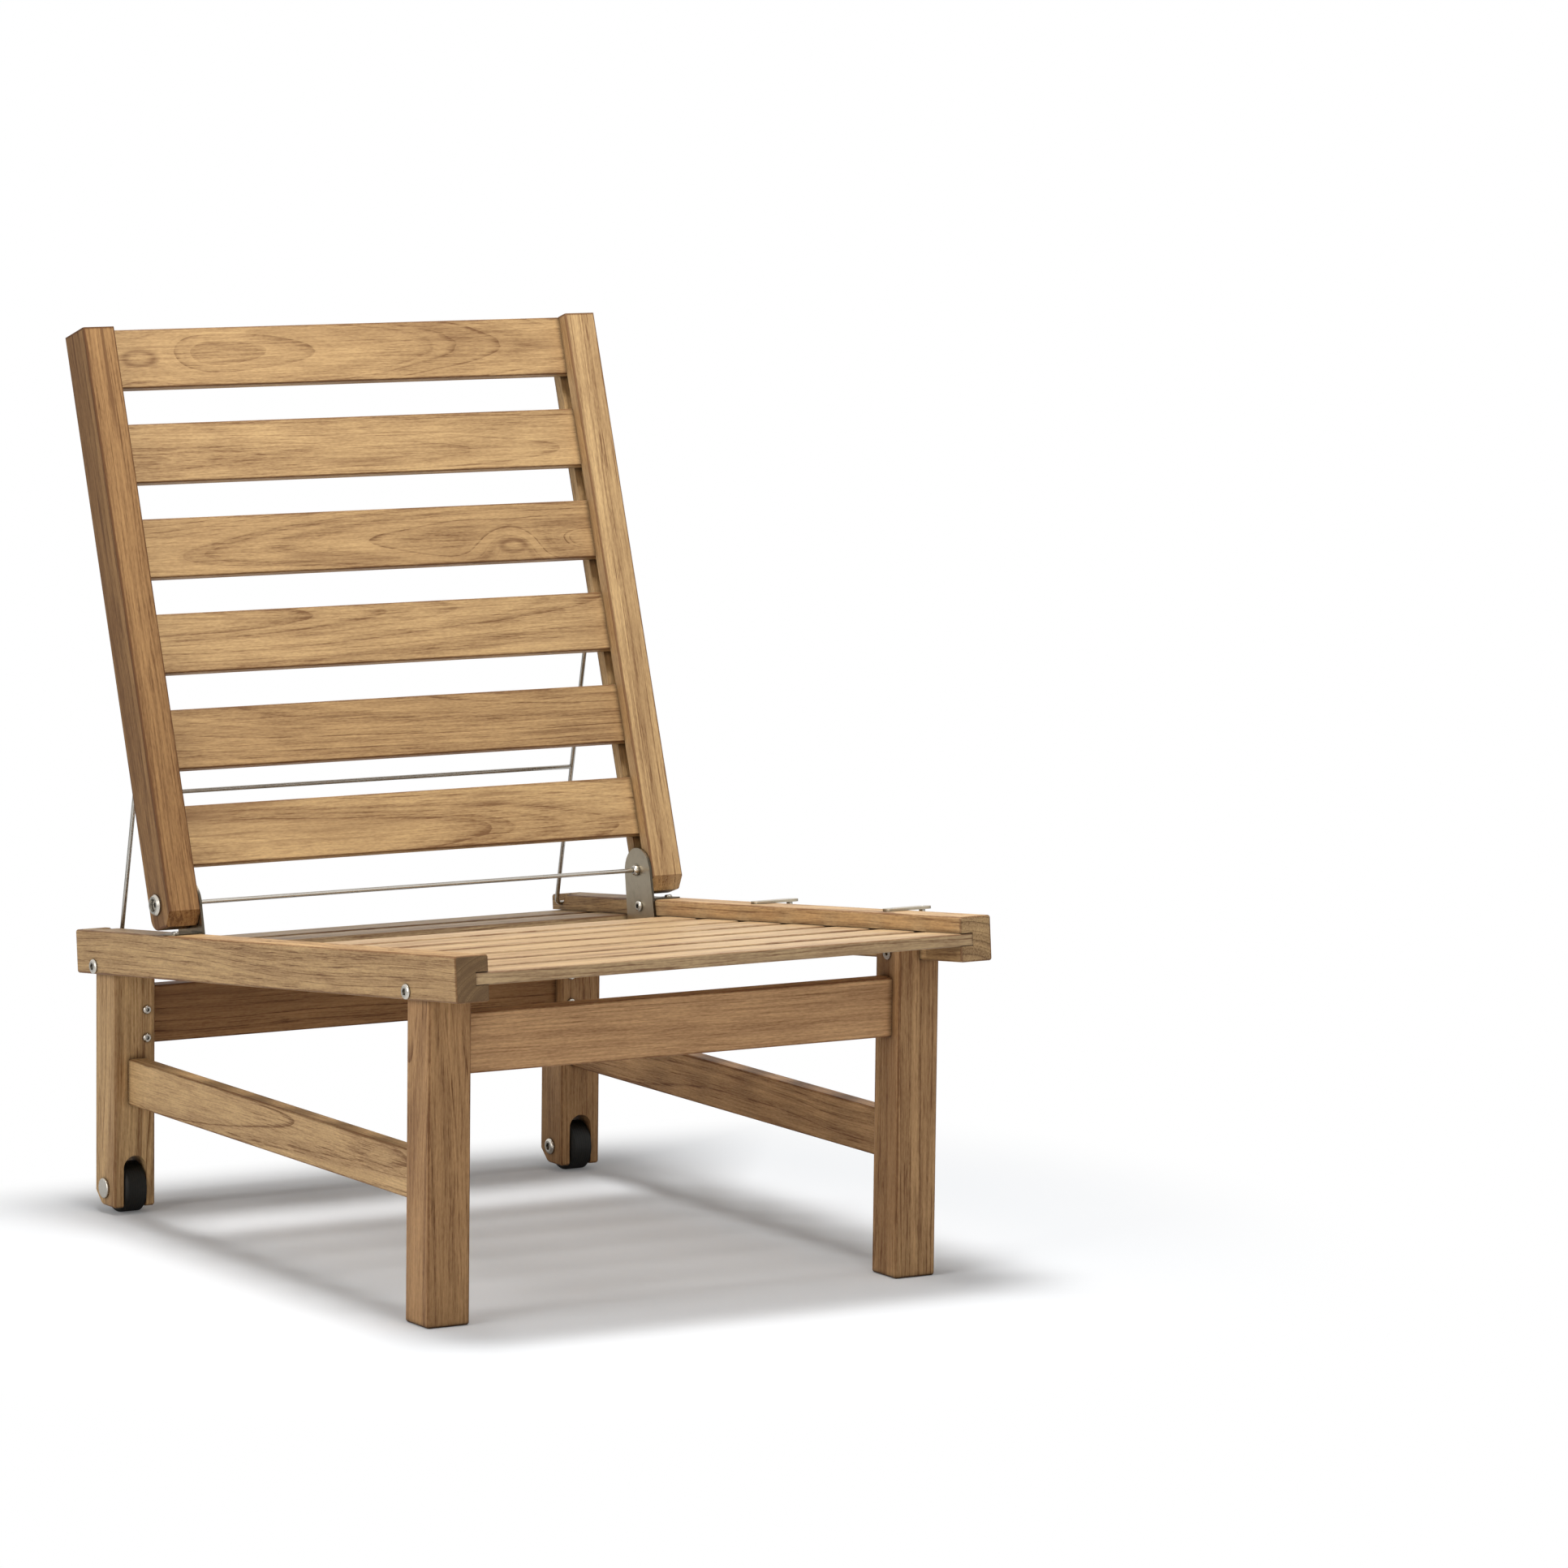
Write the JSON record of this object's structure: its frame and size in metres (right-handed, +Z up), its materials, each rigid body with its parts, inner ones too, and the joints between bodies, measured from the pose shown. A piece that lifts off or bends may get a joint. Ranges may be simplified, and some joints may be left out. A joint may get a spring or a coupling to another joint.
{
  "type": "teak lounge chair without arms",
  "caption": "Low slatted teak lounge chair without arms, on front legs and rear wheels, with a reclined back that folds flat over the seat and a wire prop behind it.",
  "frame": {"origin": "on the floor, on the chair's middle plane, halfway between the front legs' front faces and the rear legs' rear faces", "axes": "+Z up, -Y the way the sitter faces, +X to the right as seen from the front"},
  "size_m": [0.7063, 0.9248, 1.0168],
  "materials": {
    "teak": "oiled teak with an open, fine dark grain",
    "steel": "polished stainless steel",
    "tyre": "black rubber",
    "hub": "black moulded plastic"
  },
  "bodies": {
    "seat_frame": {"seat_rail_left": "teak", "seat_rail_right": "teak", "front_leg_left": "teak", "front_leg_right": "teak", "rear_leg_left": "teak", "rear_leg_right": "teak", "front_apron": "teak", "rear_apron": "teak", "side_stretcher_left": "teak", "side_stretcher_right": "teak", "seat_slat_1": "teak", "seat_slat_2": "teak", "seat_slat_3": "teak", "seat_slat_4": "teak", "seat_slat_5": "teak", "seat_slat_6": "teak", "seat_slat_7": "teak", "seat_slat_8": "teak", "seat_slat_9": "teak", "hinge_bracket_left": "steel", "hinge_bracket_right": "steel", "hinge_bracket_bolts": "steel", "hinge_flange_screws": "steel", "pivot_bolt_left": "steel", "pivot_bolt_right": "steel", "hinge_rod": "steel", "rod_collar_left": "steel", "rod_collar_right": "steel", "rail_bolts": "steel", "rail_sleeve_nuts": "steel", "front_apron_screws": "steel", "rear_apron_screws": "steel", "link_plate_front": "steel", "link_plate_rear": "steel", "link_screws": "steel", "link_pegs": "steel", "axle_bolts": "steel", "axle_caps": "steel"},
    "backrest": {"back_stile_left": "teak", "back_stile_right": "teak", "back_slat_1": "teak", "back_slat_2": "teak", "back_slat_3": "teak", "back_slat_4": "teak", "back_slat_5": "teak", "back_slat_6": "teak"},
    "prop": {"prop_wire_left": "steel", "prop_wire_right": "steel", "prop_crossbar": "steel"},
    "wheel_left": {"wheel_tyre_left": "tyre", "wheel_hub_left": "hub"},
    "wheel_right": {"wheel_tyre_right": "tyre", "wheel_hub_right": "hub"}
  },
  "joints": [
    {"name": "back_fold", "type": "hinge", "parent": "seat_frame", "child": "backrest", "pos_m": [0, 0.21333, 0.37853], "axis": [1, 0, 0], "range_deg": [0, 101.5]},
    {"name": "prop_swing", "type": "hinge", "parent": "backrest", "child": "prop", "pos_m": [0, 0.32407, 0.66732], "axis": [1, 0, 0], "range_deg": [-30, 0]},
    {"name": "wheel_left_roll", "type": "hinge", "parent": "seat_frame", "child": "wheel_left", "pos_m": [-0.295, 0.37, 0.029], "axis": [1, 0, 0], "continuous": true},
    {"name": "wheel_right_roll", "type": "hinge", "parent": "seat_frame", "child": "wheel_right", "pos_m": [0.295, 0.37, 0.029], "axis": [1, 0, 0], "continuous": true}
  ],
  "couplings": [
    {"joint": "prop_swing", "follows": "back_fold", "ratio": -0.2955}
  ]
}
